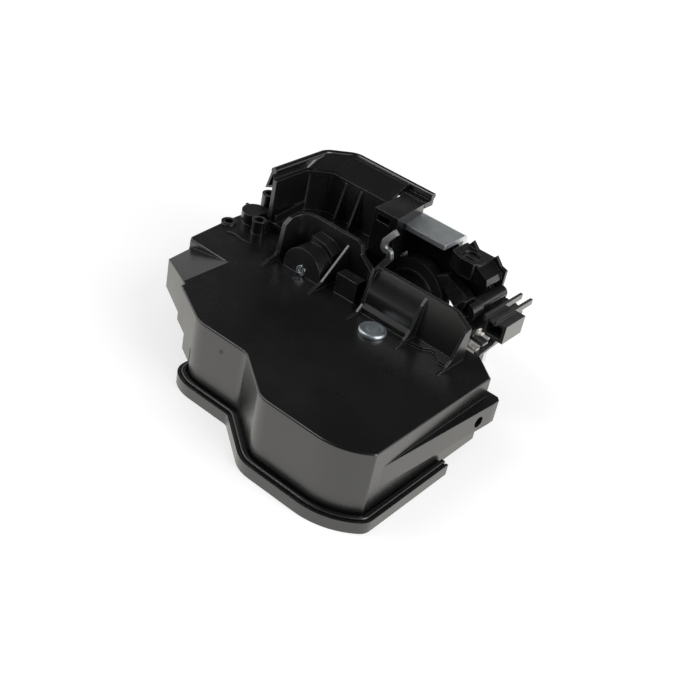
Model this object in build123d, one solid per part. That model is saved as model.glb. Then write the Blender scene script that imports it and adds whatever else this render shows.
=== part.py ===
from build123d import *
from math import acos, cos, pi, radians, sin, tan
import os

os.makedirs("parts", exist_ok=True)

# Door latch actuator, millimetres. Everything is laid out from the near right corner of the
# flat deck of the main housing: +X right, +Y towards the shut face, +Z up through the deck.
# The parts are exported with the origin on the shut face, at the middle of the striker seat.

# ---- mouldings -------------------------------------------------------------------------
wall = 2.2                  # side walls of the mouldings
deck_thick = 2.0            # flat top of the main housing
rib_thick = 1.1             # free-standing ribs
box_depth = 31.0            # deck to the lower edge of the skirt
box_back = 81.4             # outer face of the box's rear wall
box_left = -101.0           # left wall of the deep box
shoulder_x = -117.7         # left end of the slanting front wall
side_mid_depth = 24.2       # side chamber, next to the box
side_depth = 16.9           # side chamber, at its far end
side_mid_x = -108.5         # where the side chamber steps
edge_round = 0.9            # rounded outer edge of the deck
cover_gap = 0.15            # bottom cover to the skirt it sits in
cover_thick = 2.2

slant_start = (-95.0, 6.5)  # the front wall slants back between these two corners
slant_end = (shoulder_x, 18.8)

# ---- sealing rim round the skirt -------------------------------------------------------
bead_out = 2.6              # bead, measured out from the skirt
lip_out = 4.2               # outer lip, measured out from the skirt
lip_thick = 1.1
lip_bottom = -box_depth - 3.0
bead_top = -box_depth + 3.1
rim_flange_top = -box_depth + 1.4
rim_end_right = 49.0        # where the rim stops along the right wall
rim_end_left = 57.0         # and along the left wall

# ---- niche, front wall and ribs on the deck --------------------------------------------
niche_y = 80.0              # front face of the niche's back wall
niche_left = -110.0
niche_right = -75.4
niche_top = 20.0
niche_thick = 2.0
niche_corner = 8.0
front_wall_y = 72.0         # top edge of the sloping front wall
front_wall_left = -62.0
front_wall_right = -14.3
front_wall_top = 19.2
front_wall_foot = 68.2
boss_x = -94.5              # screw boss in the niche
boss_z = 2.2
boss_radius = 10.0
boss_front = 66.0

# ---- pivot pin through the deck --------------------------------------------------------
pivot_x = -48.6
pivot_y = 58.0
pivot_radius = 3.0
pivot_head_radius = 5.9
pivot_head_height = 2.0

# ---- latch end -------------------------------------------------------------------------
shut_face_y = 124.0         # outer face of the steel latch plate
plate_thick = 3.0
plate_left = -88.0
plate_right = -28.0
plate_bottom = -31.0
plate_top = 22.0
tab_left = -76.4            # bent tab on top of the plate
tab_right = -52.7
tab_front = 106.4
tab_thick = 2.3
frame_front = 82.0
frame_back_thick = 4.0      # plastic behind the steel plate
partition_y = 98.0
tab_seat = plate_top - tab_thick - 0.2   # plastic under the bent tab
throat_x = -53.0            # middle of the striker's way in
throat_width = 11.0
seat_z = -11.0              # striker height when the door is shut

# ---- catch and pawl --------------------------------------------------------------------
catch_x = -66.0
catch_z = -11.0
catch_radius = 17.5
catch_front = 110.0
catch_thick = 6.0
catch_skin = 0.8            # plastic over the steel core
catch_ring = 12.4           # raised ring on the catch's front
catch_pin_radius = 3.5
catch_open_angle = 65.0     # slot below the horizontal when open
slot_width = 9.0
pawl_x = -36.0
pawl_z = -4.0
pawl_pin_radius = 3.0
pawl_meet_angle = 45.0      # where the pawl meets the catch, above the horizontal
run_gap = 0.05              # radial clearance of a running fit
side_gap = 0.4              # side clearance between moving pieces
round_gap = 0.35            # between round moving pieces that only pass each other
pawl_hub_radius = plate_right - wall - side_gap - pawl_x

# ---- gear train ------------------------------------------------------------------------
drive_z = -15.5             # height of the motor axis and the worm wheel
worm_radius = 3.4           # pitch radius
worm_wheel_teeth = 32
worm_module = 0.9
pinion_teeth = 10
sector_teeth = 40           # as if it ran all the way round
lock_module = 1.0
tooth_gap = 0.12            # backlash on each side of a tooth
wheel_angle = 235.0         # direction from the pivot pin to the wheel's axle
motor_radius = 12.0
motor_flat = 20.0
motor_length = 19.0
motor_shaft_radius = 1.0

# ---- rear shield -----------------------------------------------------------------------
shield_floor = 5.0
shield_wall_top = 25.0
shield_wall_y = 112.4
shield_left = -129.3
shield_front = 81.5
shield_skirt = 19.4         # lower edge of the leaning band at the left end
shield_skirt_x = -133.2
shield_edge_top = 29.5      # height of the bead's middle
shield_edge_y = 126.8
shield_edge_left = -129.7
shield_end_x = -75.5        # right end of the bead, behind the lever cover
shield_bead_radius = 1.5
flange_thick = 1.8

# ---- deck ramp and screws --------------------------------------------------------------
shelf_y = 47.2              # edge of the shelf at the left of the deck
ramp_start = -118.9         # where the deck starts to fall in front of the shelf
ramp_fall = 0.17            # fall of the ramp per millimetre
side_roof = 6.5             # deck to the inside of the side chamber
screw_boss_radius = 3.2
cover_screw_radius = 1.3
cover_screw_head = 2.6
screw_radius = 1.6          # screw in the niche
screw_head_radius = 2.4
locator_radius = 2.5        # blind hole in the side boss

# ---- levels inside the box -------------------------------------------------------------
wheel_thick = 5.0
axle_radius = 2.0
lock_bottom = -12.0
lock_top = -8.0
lever_bottom = -6.8
lever_top = -4.8
lock_travel = 36.0          # swing of the lock lever, degrees
pressure_angle = 20.0
worm_half = 8.0             # half the worm's length
motor_back = -95.5          # far end of the motor
lever_window_x = (-66.0, -38.0)
lever_window_z = (-8.6, -3.2)
cam_room = -17.5            # foot of the opening that the cam swings through

# ---- latch end, small pieces -----------------------------------------------------------
nut_radius = 5.0            # collars of the threaded holes
nut_depth = 3.0
fixing_radius = 2.5         # core of the M6 thread
key_x = -42.9
key_y = 113.0
key_radius = 3.6
release_y = 88.0
release_thick = 2.0
release_tip = 27.0
peg_x = catch_x + 15.0      # peg of the release lever, pushed down by the inside lever's cam
peg_z = catch_z
peg_radius = 1.5
peg_lift = 2.0              # peg's middle to the cam edge above it
cam_slope = 0.627
cam_thick = 1.6
guide_x = -26.6             # sleeve seat of the handle cable
guide_z = 9.6
guide_bore = 1.8
shelf_top = 5.2             # shelf of the frame under the sleeve seat
plug_left = -19.8
plug_width = 10.3
plug_front = 94.5
plug_length = 14.5
plug_bottom = 1.2
shelf_right = -19.9
plug_top = 9.6
plug_arm = 3.2              # width of the arm that carries the socket

origin = Vector(throat_x, shut_face_y, seat_z)


# ---- helpers ---------------------------------------------------------------------------
def plan(points, bottom, top):
    """A closed plan outline, extruded up from bottom to top."""
    face = make_face(Polyline(*points, close=True))
    return Pos(0, 0, bottom) * extrude(face, top - bottom)


def across(points, x_from, x_to):
    """A closed outline of (y, z) points, extruded along X."""
    face = make_face(Polyline(*points, close=True))
    return extrude(Plane.YZ.offset(x_from) * face, x_to - x_from)


def along(points, y_from, y_to):
    """A closed outline of (x, z) points, extruded along Y."""
    face = make_face(Polyline(*points, close=True))
    return extrude(Plane.XZ.offset(-y_to) * face, y_to - y_from)


def box(x_from, x_to, y_from, y_to, z_from, z_to):
    centre = Pos((x_from + x_to) / 2, (y_from + y_to) / 2, (z_from + z_to) / 2)
    return centre * Box(x_to - x_from, y_to - y_from, z_to - z_from)


def rod_x(y, z, radius, x_from, x_to):
    return extrude(Plane.YZ.offset(x_from) * Pos(y, z) * Circle(radius), x_to - x_from)


def rod_y(x, z, radius, y_from, y_to):
    return extrude(Plane.XZ.offset(-y_to) * Pos(x, z) * Circle(radius), y_to - y_from)


def rod_z(x, y, radius, z_from, z_to):
    return Pos(x, y, (z_from + z_to) / 2) * Cylinder(radius, z_to - z_from)


# ---- outlines --------------------------------------------------------------------------
def front_line():
    """Front edge of the box, from the near right corner round the waist to the left corner."""
    corners = [(0, 30), (0, 0), (-9.2, -9.0), (-47.5, -9.0), (-69.0, 6.5), slant_start, slant_end]
    return FilletPolyline(*corners, radius=[1.5, 28.0, 12.0, 8.0, 14.0])


def closed_behind(left):
    """Plan of everything between the front edge and the rear wall, right of a line."""
    front = front_line()
    back = Polyline(slant_end, (shoulder_x, box_back), (-10.7, box_back), (0, 73.0), (0, 30))
    face = make_face(Wire([*front.edges(), *back.edges()]))
    return face & Pos((left + 20) / 2, 40) * Rectangle(20 - left, 200)


def box_outline():
    """Plan of the deep box."""
    face = closed_behind(box_left)
    corner = face.vertices().group_by(Axis.X)[0].sort_by(Axis.Y)[0]
    return fillet(corner, 4.5)


def side_outline():
    """Plan of the side chamber, from the box to the far end."""
    run = slant_start[0] - slant_end[0]
    overlap_x = box_left + 1.0
    overlap_y = slant_start[1] + (slant_start[0] - overlap_x) * (slant_end[1] - slant_start[1]) / run
    points = [(overlap_x, overlap_y), slant_end, (shoulder_x, 20.6), (-138.5, 32.0), (-140.0, 45.0)]
    points += [(-143.2, 49.1), (-145.2, 75.0), (-145.2, 97.0), (shield_left - 1.5, 97.0)]
    points += [(shield_left - 1.5, box_back), (box_left + 1.0, box_back)]
    return make_face(Polyline(*points, close=True))


def niche_line():
    """Middle line of the niche wall in plan."""
    middle = niche_y + niche_thick / 2
    left = niche_left + niche_thick / 2
    corners = [(niche_right, middle), (left, middle), (left, boss_front)]
    return FilletPolyline(*corners, radius=niche_corner)


# ---- main housing ----------------------------------------------------------------------
def housing_block():
    """Solid deep box and side chamber, with the rounded edge round the deck."""
    deck = closed_behind(shoulder_x) + side_outline()
    block = Pos(0, 0, -side_depth) * extrude(deck, side_depth)
    block += Pos(0, 0, -box_depth) * extrude(box_outline(), box_depth)
    middle = Pos(0, 0, -side_mid_depth) * extrude(side_outline(), side_mid_depth)
    block += middle & box(side_mid_x, 0, 0, 200, -side_mid_depth, 0)
    block -= along(side_ramp(), 5, shelf_y)
    top_edges = block.faces().filter_by(Axis.Z).sort_by(Axis.Z)[-1].outer_wire().edges()
    return fillet(top_edges, edge_round)


def side_ramp():
    """Wedge taken off the deck in front of the shelf."""
    far = -150.0
    drop = (ramp_start - far) * ramp_fall
    return [(ramp_start, 0), (far, 0), (far, -drop)]


def housing_rooms():
    """Inside of the deep box and of the side chamber, open below."""
    room = Pos(0, 0, -box_depth) * extrude(offset(box_outline(), -wall), box_depth - deck_thick)
    side_face = offset(side_outline(), -wall, kind=Kind.INTERSECTION)
    side = Pos(0, 0, -side_mid_depth) * extrude(side_face, side_mid_depth - side_roof)
    return room + side


def rim_band(inner, outer, bottom, top):
    """A band that follows the skirt between two offsets, where the rim runs."""
    band = offset(box_outline(), outer) - offset(box_outline(), inner)
    band = Pos(0, 0, bottom) * extrude(band, top - bottom)
    middle = box_left / 2
    run = box(box_left - 20, middle, -30, rim_end_left, bottom - 1, top + 1)
    run += box(middle, 20, -30, rim_end_right, bottom - 1, top + 1)
    return band & run


def rim():
    """Flange, rounded bead and outer lip round the foot of the skirt."""
    flange = rim_band(-1, lip_out, -box_depth, rim_flange_top)
    bead = rim_band(bead_out - 1.8, bead_out, rim_flange_top - 0.5, bead_top)
    lip = rim_band(lip_out - lip_thick, lip_out, lip_bottom, bead_top - 1.0)
    bead = fillet(bead.faces().sort_by(Axis.Z)[-1].outer_wire().edges(), 0.6)
    return flange + bead + lip


def rib_outline(curve, back):
    """A rib's (y, z) outline: its free edge, closed behind and below the deck."""
    foot_y = curve[0][0]
    return [(foot_y, -1.0), *curve, (back, curve[-1][1]), (back, -1.0)]


def ribs():
    niche_back = niche_y + 0.5
    wall_back = front_wall_y + 1.0
    shapes = [
        (-109.4, [(56.8, 0), (65.7, 2.4), (73.3, 15.8), (75.5, 18.5)], 78.0),
        (-82.9, [(56.9, 0), (65.3, 2.8), (80.0, 15.8)], niche_back),
        (-61.2, [(55.8, 0), (63.1, 0.8), (66.1, 3.5), (67.3, 10.4), (68.7, 19.2)], wall_back),
        (-35.9, [(56.0, 0), (61.7, 1.9), (64.8, 5.2), (68.9, 15.2), (71.7, 18.0)], wall_back),
        (-14.8, [(55.8, 0), (61.1, 1.5), (64.5, 3.3), (68.7, 11.5), (69.8, 14.0)], wall_back),
    ]
    made = []
    for x, curve, back in shapes:
        outline = rib_outline(curve, back)
        made.append(across(outline, x - rib_thick / 2, x + rib_thick / 2))
    return made


def front_wall():
    """Sloping wall behind the deck, with the curved panel between its two tall ribs."""
    top_back = front_wall_y + 2.0
    outline = [(front_wall_foot, -1), (front_wall_y, front_wall_top)]
    outline += [(top_back, front_wall_top), (top_back, -1)]
    sheet = across(outline, front_wall_left, front_wall_right)
    right = front_wall_right + 1
    slope = [(-22.0, front_wall_top), (right, 14.0), (right, 25), (-22.0, 25)]
    sheet -= along(slope, 60, 80)
    edge = [(65.3, -1), (65.3, 2.4), (66.9, 4.2)]
    curve = ThreePointArc((66.9, 4.2), (68.2, 12.4), (front_wall_y + 0.4, front_wall_top - 0.6))
    close = Polyline(curve @ 1, (top_back - 0.5, front_wall_top - 0.6), (top_back - 0.5, -1), edge[0])
    panel = make_face(Wire([*Polyline(*edge).edges(), curve.edge(), *close.edges()]))
    panel = extrude(Plane.YZ.offset(-61.2) * panel, 61.2 - 35.9)
    step = [(-36.7, 63.4), (-28.2, 64.9), (-26, 67.2), (-23.5, 67.2), (-21, 65.1)]
    step += [(-19.2, 63.1), (-15, 63.2), (-15, front_wall_y), (-36.7, front_wall_y)]
    return [sheet, panel, plan(step, -1, 1.2)]


def niche():
    """The arched niche: back wall with a round corner, its side wall and the screw boss."""
    sheet = Pos(0, 0, -1) * extrude(trace(niche_line(), niche_thick), niche_top + 1)
    side_edge = [(78, niche_top + 1), (78, niche_top), (71.7, 19.0), (68.3, 16.9), (66.6, 3), (66.6, -2)]
    side_edge += [(60, -2), (60, niche_top + 1)]
    sheet -= across(side_edge, niche_left - 2, niche_left + 4)
    over = niche_top + 1
    droop = [(niche_right - 3.5, niche_top), (niche_right - 1.2, 18.6), (niche_right, 15.0)]
    droop += [(niche_right + 1, 15.0), (niche_right + 1, over), (niche_right - 3.5, over)]
    sheet -= along(droop, niche_y - 1, niche_y + 4)
    link = [(niche_right - 1, niche_y), (front_wall_left - 1.2, front_wall_y - 0.6)]
    link += [(front_wall_left + 0.6, front_wall_y + 1.4), (niche_right - 1, niche_y + niche_thick)]
    block = [(-98.0, -1), (-98.0, 14.9), (-90.5, 14.2), (-85.8, 11.0), (-85.3, -1)]
    boss = rod_y(boss_x, boss_z, boss_radius, boss_front, niche_y + 1)
    boss &= box(-120, -70, 60, 90, -1, 30)
    small_block = box(-77.6, -66.9, 68.0, front_wall_y + 1.4, -1, 9.3)
    return [sheet, plan(link, -1, 15.0), along(block, boss_front + 8, niche_y + 1), boss, small_block]


def side_wedge():
    """Tapered boss on the right wall, with its blind locating hole."""
    outline = [(-1, 6.4), (0, 6.4), (5, 72), (5, 75.4), (3.4, 77), (-5.6, 77), (-3, 72.5), (-1, 70)]
    return plan(outline, -19.6, -9.4)


def left_bosses():
    """Tubes, lump and low rails at the left end of the deck."""
    tubes = [
        rod_z(-142.9, 72.0, 3.5, -6.0, 0.6),
        rod_z(-130.0, 77.0, 3.15, -1.0, 6.0),
        rod_z(-141.8, 96.2, 3.5, -1.0, 8.0),
        rod_z(-138.0, 83.0, 6.0, -1.0, 5.0) & box(-150, -134, 72, 90, -1, 5),
    ]
    rails = [
        box(-128.6, -127.6, 79.0, shield_front - 0.1, -1, shield_floor),
        box(-145.0, -139.6, 84.0, 85.2, -1, 5.0),
        box(-140.0, -132.0, 95.8, 97.0, -1, 7.0),
    ]
    return tubes + rails


def boss_holes():
    return [
        rod_z(-142.9, 72.0, 2.1, -20, 2),
        rod_z(-130.0, 77.0, 2.15, -20, 8),
        rod_z(-141.8, 96.2, 2.2, -3, 9),
    ]


def cover_screw_places():
    """Where the screws of the bottom cover stand."""
    return [(-8.0, 8.0), (-46.0, 2.0), (box_left + 7.5, 70.0), (-12.0, 68.0)]


def main_housing():
    shell = housing_block() - housing_rooms()
    shell += [rim(), *ribs(), *front_wall(), *niche(), side_wedge(), *left_bosses()]
    for x, y in cover_screw_places():
        shell += rod_z(x, y, screw_boss_radius, -box_depth + cover_thick, -1)
        shell -= rod_z(x, y, cover_screw_radius, -box_depth, -box_depth + 12)
    wheel_x, wheel_y = wheel_place()
    shell += rod_z(wheel_x, wheel_y, 4.0, lock_top + side_gap, -1)
    shell -= rod_z(wheel_x, wheel_y, axle_radius, -box_depth, -4.0)
    shell -= rod_z(pivot_x, pivot_y, pivot_radius, -box_depth, 5)
    shell -= rod_y(boss_x, boss_z, screw_radius, boss_front - 5, niche_y + 5)
    shell -= rod_y(boss_x, boss_z, screw_head_radius + 0.3, boss_front - 5, boss_front + 1.2)
    shell -= rod_x(64.0, -15.0, locator_radius, -1, 8)
    shell -= boss_holes()
    shell -= box(*lever_window_x, box_back - wall - 1, box_back + 1, *lever_window_z)
    return shell


# ---- covers ----------------------------------------------------------------------------
def bottom_cover():
    """Lid in the foot of the skirt, with ribs outside and cradles for the motor inside."""
    top = -box_depth + cover_thick
    lid = Pos(0, 0, -box_depth) * extrude(offset(box_outline(), -wall - cover_gap), cover_thick)
    for n in range(4):
        x = -20.0 - 20.0 * n
        lid += box(x - 0.6, x + 0.6, 15.0, box_back - 6, -box_depth - 1.2, -box_depth + 0.5)
    for n in range(3):
        y = 24.0 + 20.0 * n
        lid += box(box_left + 5, -6.0, y - 0.6, y + 0.6, -box_depth - 1.2, -box_depth + 0.5)
    worm_y = worm_line_y()
    for x in (motor_back + 4, motor_back + motor_length - 6):
        cradle = box(x, x + 2, worm_y - 10, worm_y + 11, top - 0.5, drive_z - 4)
        lid += cradle - rod_x(worm_y, drive_z, motor_radius + 0.1, x - 1, x + 3)
    wheel_x, wheel_y = wheel_place()
    lid += rod_z(wheel_x, wheel_y, 4.0, top - 0.5, drive_z - wheel_thick / 2 - side_gap)
    lid += rod_z(pivot_x, pivot_y, 5.0, top - 0.5, lock_bottom - side_gap)
    lid -= rod_z(wheel_x, wheel_y, axle_radius, top - 1, 0)
    lid -= rod_z(pivot_x, pivot_y, pivot_radius, top - 1, 0)
    for x, y in cover_screw_places():
        lid -= rod_z(x, y, cover_screw_radius + 0.2, -box_depth - 2, top + 1)
        lid -= rod_z(x, y, cover_screw_head + 0.2, -box_depth - 2, -box_depth + 0.8)
    return lid


def side_cover():
    """Stepped lid under the side chamber."""
    inner = offset(side_outline(), -wall - cover_gap, kind=Kind.INTERSECTION)
    slab = Pos(0, 0, -side_mid_depth) * extrude(inner, side_mid_depth - side_depth + cover_thick)
    slab -= box(-160, side_mid_x, 0, 120, -side_mid_depth, -side_depth)
    slab -= box(side_mid_x + cover_thick, 0, 0, 120, -side_mid_depth + cover_thick, 0)
    return slab


def cover_screws():
    """Pan-head screws of the bottom cover."""
    made = []
    for x, y in cover_screw_places():
        head = rod_z(x, y, cover_screw_head, -box_depth - 0.8, -box_depth + 0.8)
        made.append(head + rod_z(x, y, cover_screw_radius, -box_depth, -box_depth + 11))
    return Compound(made)


def niche_screw():
    """Screw whose head shows in the boss of the niche."""
    head = rod_y(boss_x, boss_z, screw_head_radius, boss_front - 0.6, boss_front + 1.2)
    head -= rod_y(boss_x, boss_z, 1.2, boss_front - 1, boss_front + 0.6)
    return head + rod_y(boss_x, boss_z, screw_radius, boss_front + 1, boss_front + 13)


# ---- gears -----------------------------------------------------------------------------
def tooth_half_angle(radius, teeth, module):
    """Half a tooth's angle at a radius, on involute flanks with backlash."""
    pitch = module * teeth / 2
    base = pitch * cos(radians(pressure_angle))
    turn = acos(base / max(radius, base))
    flat = radians(pressure_angle)
    half_at_pitch = pi / 2 / teeth - tooth_gap / pitch
    return half_at_pitch + (tan(flat) - flat) - (tan(turn) - turn)


def gear_face(teeth, module, phase):
    """Outline of a spur gear with a tooth at the given phase, in radians."""
    pitch = module * teeth / 2
    radii = [pitch - 1.15 * module, pitch, pitch + 0.85 * module]
    points = []
    for n in range(teeth):
        middle = phase + 2 * pi * n / teeth
        flank = [(r, tooth_half_angle(r, teeth, module)) for r in radii]
        sides = [(r, middle - a) for r, a in flank] + [(r, middle + a) for r, a in reversed(flank)]
        points += [(r * cos(a), r * sin(a)) for r, a in sides]
    return make_face(Polyline(*points, close=True))


def lock_centre_distance():
    return lock_module * (pinion_teeth + sector_teeth) / 2


def wheel_place():
    """Axle of the worm wheel, one centre distance from the pivot pin."""
    reach = lock_centre_distance()
    turn = radians(wheel_angle)
    return pivot_x + reach * cos(turn), pivot_y + reach * sin(turn)


def worm_line_y():
    return wheel_place()[1] - worm_module * worm_wheel_teeth / 2 - worm_radius


def worm_wheel():
    """Worm wheel with the small pinion moulded on top."""
    wheel_x, wheel_y = wheel_place()
    place = Pos(wheel_x, wheel_y)
    low = drive_z - wheel_thick / 2
    rim_part = place * Pos(0, 0, low) * extrude(gear_face(worm_wheel_teeth, worm_module, 0), wheel_thick)
    phase = radians(wheel_angle - 180) + pi / pinion_teeth
    pinion = place * Pos(0, 0, low + wheel_thick) * extrude(
        gear_face(pinion_teeth, lock_module, phase), lock_top - low - wheel_thick
    )
    body = rim_part + pinion
    ring = Circle(worm_wheel_teeth * worm_module / 2 - 3.2) - Circle(7.0)
    web_cut = place * Pos(0, 0, low + wheel_thick - 1.0) * extrude(ring, 2)
    return body - web_cut - rod_z(wheel_x, wheel_y, axle_radius + run_gap, -40, 0)


def wheel_axle():
    wheel_x, wheel_y = wheel_place()
    return rod_z(wheel_x, wheel_y, axle_radius, -box_depth + cover_thick - 1, -4.0)


def worm():
    """Worm pressed on the motor shaft."""
    x = wheel_place()[0]
    y = worm_line_y()
    core = rod_x(y, drive_z, worm_radius - 0.9 * worm_module, x - worm_half, x + worm_half)
    return core - rod_x(y, drive_z, motor_shaft_radius, x - 20, x + 20)


def motor():
    """Round can with two flats, and its end cap."""
    y = worm_line_y()
    can = rod_x(y, drive_z, motor_radius, motor_back, motor_back + motor_length)
    can &= box(-130, -60, y - motor_flat / 2, y + motor_flat / 2, drive_z - 20, drive_z + 20)
    neck = rod_x(y, drive_z, 3.0, motor_back + motor_length, motor_back + motor_length + 1.5)
    return can + neck - rod_x(y, drive_z, motor_shaft_radius + run_gap, -130, -60)


def motor_shaft():
    x = wheel_place()[0]
    return rod_x(worm_line_y(), drive_z, motor_shaft_radius, motor_back + 1, x + worm_half + 3)


def lock_lever():
    """Toothed sector on the pivot pin, driven by the pinion, with its detent arm."""
    sector = Pos(pivot_x, pivot_y, lock_bottom) * extrude(
        gear_face(sector_teeth, lock_module, radians(wheel_angle)), lock_top - lock_bottom
    )
    first = radians(wheel_angle - lock_travel - 9)
    last = radians(wheel_angle + 7)
    reach = 40
    wedge = [(0, 0), (reach * cos(first), reach * sin(first)), (reach * cos(last), reach * sin(last))]
    wedge = Pos(pivot_x, pivot_y) * plan(wedge, lock_bottom, lock_top)
    lever = (sector & wedge) + rod_z(pivot_x, pivot_y, 6.5, lock_bottom, lock_top)
    window = Rot(0, 0, wheel_angle - lock_travel / 2) * box(8.5, 15, -3, 3, -20, 0)
    window = Pos(pivot_x, pivot_y) * window
    arm = Pos(pivot_x, pivot_y) * Rot(0, 0, -20) * box(0, 18, -3, 3, lock_bottom, lock_bottom + 2.4)
    nose = Pos(pivot_x, pivot_y) * Rot(0, 0, -20) * rod_z(18, 0, 3.0, lock_bottom, lock_top)
    return lever - window + arm + nose - rod_z(pivot_x, pivot_y, pivot_radius + run_gap, -40, 0)


def inside_lever():
    """Flat steel lever on the pivot pin that reaches back to the release lever."""
    hub = rod_z(pivot_x, pivot_y, 7.0, lever_bottom, lever_top)
    reach = release_y - 1.0 - pivot_y
    arm = Pos(pivot_x, pivot_y) * box(-3.5, 3.5, 0, reach, lever_bottom, lever_top)
    start = peg_x - pivot_x
    end = 7.0
    edge_z = peg_z + peg_lift
    cam = [(start - 3.5, lever_bottom + 0.1), (start, edge_z), (end, edge_z - cam_slope * (end - start))]
    cam += [(end, lever_bottom + 0.1)]
    arm += Pos(pivot_x, pivot_y) * box(-6, end, reach - 3, reach, lever_bottom, lever_top)
    arm += Pos(pivot_x, pivot_y) * along(cam, reach - cam_thick, reach)
    tail = Pos(pivot_x, pivot_y) * Rot(0, 0, -50) * box(0, 24, -3.5, 3.5, lever_bottom, lever_top)
    tail += Pos(pivot_x, pivot_y) * Rot(0, 0, -50) * rod_z(24, 0, 3.5, lever_bottom, lever_top)
    eye = Pos(pivot_x, pivot_y) * Rot(0, 0, -50) * rod_z(24, 0, 1.6, -20, 0)
    return hub + arm + tail - eye - rod_z(pivot_x, pivot_y, pivot_radius + run_gap, -20, 0)


def pivot_pin():
    """Riveted pivot with its domed head standing on the deck."""
    shank = rod_z(pivot_x, pivot_y, pivot_radius, -box_depth + cover_thick - 1, 0.5)
    ball = (pivot_head_radius**2 + pivot_head_height**2) / (2 * pivot_head_height)
    dome = Pos(pivot_x, pivot_y, pivot_head_height - ball + 0.4) * Sphere(ball)
    dome &= rod_z(pivot_x, pivot_y, pivot_head_radius, 0.0, 5.0)
    return shank + dome


# ---- latch end -------------------------------------------------------------------------
def latch_plate():
    """Steel plate on the shut face, with the striker's mouth, three nuts and the bent tab."""
    inside = shut_face_y - plate_thick
    low_tab = plate_top - tab_thick
    outline = [(plate_left, plate_bottom), (plate_left, 6), (tab_left, 16), (tab_left, plate_top)]
    outline += [(tab_right, plate_top), (tab_right, 14), (-36, 12)]
    outline += [(plate_right, 4), (plate_right, plate_bottom)]
    sheet = along(outline, inside, shut_face_y)
    tab = box(tab_left, tab_right, tab_front, inside + 1, low_tab, plate_top)
    corners = tab.edges().filter_by(Axis.Z).group_by(Axis.Y)[0].sort_by(Axis.X)
    tab = fillet(corners[0], 3.8)
    corners = tab.edges().filter_by(Axis.Z).group_by(Axis.Y)[0].sort_by(Axis.X)
    sheet += fillet(corners[-1], 0.8)
    for x, z in fixing_places():
        sheet += rod_y(x, z, nut_radius, inside - nut_depth, inside + 1)
        sheet -= rod_y(x, z, fixing_radius, inside - nut_depth - 1, shut_face_y + 1)
    sheet -= throat(throat_width / 2, inside - 1, shut_face_y + 1)
    sheet -= rod_y(catch_x, catch_z, catch_pin_radius, inside - 1, shut_face_y + 1)
    sheet -= rod_y(pawl_x, pawl_z, pawl_pin_radius, inside - 1, shut_face_y + 1)
    bend = sheet.edges().filter_by(Axis.X)
    bend = bend.filter_by_position(Axis.Y, shut_face_y - 0.1, shut_face_y + 0.1)
    return fillet(bend.sort_by(Axis.Z)[-1], 2.5)


def fixing_places():
    """Threaded holes of the latch plate."""
    return [(-79.0, 2.0), (-79.0, -24.0), (plate_right - 7.0, -24.0)]


def throat(half_width, y_from, y_to):
    """Slot for the striker, round at the top and flared at the mouth."""
    way = box(throat_x - half_width, throat_x + half_width, y_from, y_to, plate_bottom - 5, seat_z + 1)
    way += rod_y(throat_x, seat_z + 1, half_width, y_from, y_to)
    flare = [(throat_x - half_width - 4, plate_bottom - 1), (throat_x - half_width, plate_bottom + 4)]
    flare += [(throat_x + half_width, plate_bottom + 4), (throat_x + half_width + 4, plate_bottom - 1)]
    return way + along(flare, y_from, y_to)


def latch_frame():
    """Plastic frame of the latch: walls, pin webs, shelf, lever cover and lock boss."""
    inside = shut_face_y - plate_thick
    web_y = inside - frame_back_thick
    left, right, low = plate_left, plate_right, plate_bottom
    plug_seat_y = plug_front + plug_length + 0.5
    web = [(left, low), (left, 6), (tab_left, 14), (tab_left, tab_seat), (tab_right, tab_seat)]
    web += [(tab_right, 16), (-36, 12), (right, 4), (right, low)]
    fins = [(tab_right, 12), (tab_right, 16), (-50.5, 17.5), (-47.2, 22.9), (-43.6, 19.6), (-36.5, 19.6)]
    fins += [(-34.8, 21.7), (-31.3, 18.1), (right - 0.5, 17.3), (right - 0.5, 3)]
    parts = [
        box(left, right, frame_front, frame_front + 2, low, 8),
        box(left, left + wall, frame_front, inside, low, 6),
        box(right - wall, right, frame_front, inside, low, 4),
        box(left, right, frame_front, inside, low, low + 1.8),
        box(left, right, partition_y, partition_y + 2, low, -3),
        along(web, web_y, inside),
        along(fins, inside - 1.6, inside),
        box(-34, shelf_right, frame_front + 4, inside, shelf_top - 2, shelf_top),
        box(shelf_right - 2, plug_left + plug_arm, plug_seat_y, inside, -0.8, plug_bottom + 2),
        box(shelf_right - 2, shelf_right, plug_seat_y, inside, -0.8, shelf_top),
    ]
    frame = parts[0]
    frame += parts[1:]
    frame += lever_cover()
    frame += lock_boss()
    frame -= throat(throat_width / 2 + 0.6, partition_y + 2, inside + 1)
    frame -= box(throat_x - 4.5, throat_x + 4.5, web_y + 0.5, inside + 1, seat_z + 5, seat_z + 9.5)
    frame -= rod_y(catch_x, catch_z, catch_pin_radius, frame_front + 1, inside + 1)
    frame -= rod_y(pawl_x, pawl_z, pawl_pin_radius, partition_y - 1, inside + 1)
    for x, z in fixing_places():
        frame -= rod_y(x, z, nut_radius + 0.3, inside - nut_depth - 0.3, inside + 1)
        frame -= rod_y(x, z, fixing_radius + 0.6, web_y - 4, inside + 1)
    frame -= box(*lever_window_x, frame_front - 1, frame_front + 3, cam_room, lever_window_z[1])
    return frame


def lever_cover():
    """Box over the lever ends, with a small window in front."""
    back = shut_face_y - plate_thick
    outer = plan([(-86.0, 98.9), (-73.4, 98.9), (-75.6, back), (-86.4, back)], 5.6, 26.9)
    inner = plan([(-84.4, 100.5), (-75.1, 100.5), (-77.0, back - 2), (-84.8, back - 2)], 3, 25.4)
    window = box(-84.2, -77.3, 98, 101, 21.6, 24.6)
    tab_room = box(tab_left - 0.4, tab_right, tab_front - 0.4, back + 1, tab_seat, plate_top + 0.3)
    return outer - inner - window - tab_room


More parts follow.
